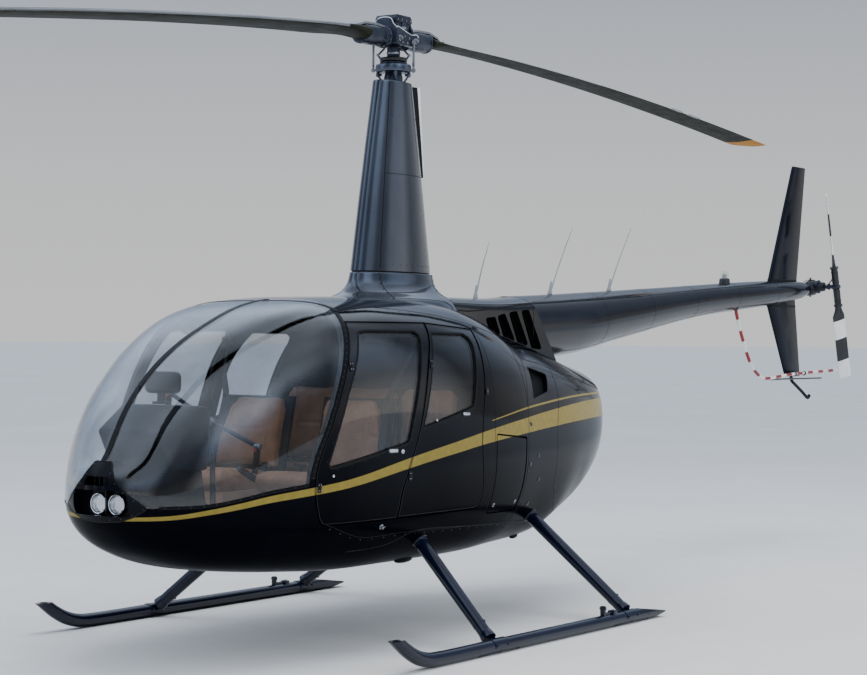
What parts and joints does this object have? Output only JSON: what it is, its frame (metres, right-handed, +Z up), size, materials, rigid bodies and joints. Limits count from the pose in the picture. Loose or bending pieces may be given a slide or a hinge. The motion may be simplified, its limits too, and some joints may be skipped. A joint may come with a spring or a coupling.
{
  "type": "light helicopter",
  "caption": "Parked light helicopter with closed cabin, faired rotor mast, slim tail boom and skid landing gear; the doors open and both rotors turn.",
  "frame": {"origin": "bottom centre of the bounding box, on the ground", "axes": "+X towards the nose, +Y towards the port side, +Z up"},
  "size_m": [11.2821, 2.424, 3.474],
  "materials": {
    "body_paint": "high gloss",
    "grey_paint": "gloss",
    "dark_trim": "satin",
    "bare_metal": "satin",
    "steel": "heat stained",
    "seat_leather": "soft",
    "glazing": "clear",
    "white_paint": "gloss",
    "blade_paint": "satin"
  },
  "bodies": {
    "airframe": {"belly_tub": "body_paint", "cabin_frame": "body_paint", "rear_bulkhead": "grey_paint", "rear_body": "body_paint", "engine_cowl": "body_paint", "windshield_left": "glazing", "windshield_right": "glazing", "windshield_strip": "dark_trim", "lamp_housing": "dark_trim", "mast_foot": "grey_paint", "intake_fairing": "body_paint", "mast_fairing": "grey_paint", "tail_boom": "body_paint", "upper_fin": "body_paint", "lower_fin": "body_paint", "stabiliser": "body_paint", "tail_gearbox": "bare_metal", "tail_skid": "dark_trim", "guard_rail": "white_paint", "beacon": "glazing", "swashplate": "bare_metal", "seat_left": "seat_leather", "seat_right": "seat_leather", "rear_bench": "seat_leather", "console": "dark_trim", "cyclic": "dark_trim", "engine_block": "bare_metal", "rotor_gearbox": "bare_metal", "exhaust": "steel", "skid_left": "body_paint", "strut_front_left": "body_paint", "strut_rear_left": "body_paint", "skid_right": "body_paint", "strut_front_right": "body_paint", "strut_rear_right": "body_paint"},
    "main_rotor": {"rotor_hub": "bare_metal", "main_blade_a": "blade_paint", "main_blade_b": "blade_paint"},
    "tail_rotor": {"tail_rotor_hub": "bare_metal", "tail_blade_a": "white_paint", "tail_blade_b": "white_paint"},
    "locker_lid": {"locker_door": "body_paint"},
    "door_front_left": {"front_door_left": "body_paint", "front_door_window_left": "glazing"},
    "door_rear_left": {"rear_door_left": "body_paint", "rear_door_window_left": "glazing"},
    "door_front_right": {"front_door_right": "body_paint", "front_door_window_right": "glazing"},
    "door_rear_right": {"rear_door_right": "body_paint", "rear_door_window_right": "glazing"}
  },
  "joints": [
    {"name": "main_rotor_spin", "type": "hinge", "parent": "airframe", "child": "main_rotor", "pos_m": [0.6095, 0, 3.337], "axis": [0, 0, 1], "continuous": true},
    {"name": "tail_rotor_spin", "type": "hinge", "parent": "airframe", "child": "tail_rotor", "pos_m": [-5.2535, 0.217, 2.049], "axis": [0, 1, 0], "continuous": true},
    {"name": "front_door_left_hinge", "type": "hinge", "parent": "airframe", "child": "door_front_left", "pos_m": [2.106, 0.715, 1.1975], "axis": [0.3988, 0, -0.917], "range_deg": [0, 75]},
    {"name": "rear_door_left_hinge", "type": "hinge", "parent": "airframe", "child": "door_rear_left", "pos_m": [1.3975, 0.746, 1.1975], "axis": [0.3572, 0.0447, -0.9329], "range_deg": [0, 75]},
    {"name": "front_door_right_hinge", "type": "hinge", "parent": "airframe", "child": "door_front_right", "pos_m": [2.106, -0.715, 1.1975], "axis": [-0.3988, 0, 0.917], "range_deg": [0, 75]},
    {"name": "rear_door_right_hinge", "type": "hinge", "parent": "airframe", "child": "door_rear_right", "pos_m": [1.3975, -0.746, 1.1975], "axis": [-0.3572, 0.0447, 0.9329], "range_deg": [0, 75]},
    {"name": "locker_door_hinge", "type": "hinge", "parent": "airframe", "child": "locker_lid", "pos_m": [0.6015, 0.736, 0.87], "axis": [0, 0, -1], "range_deg": [0, 80]}
  ],
  "couplings": [
    {"joint": "tail_rotor_spin", "follows": "main_rotor_spin", "ratio": -5.95}
  ]
}
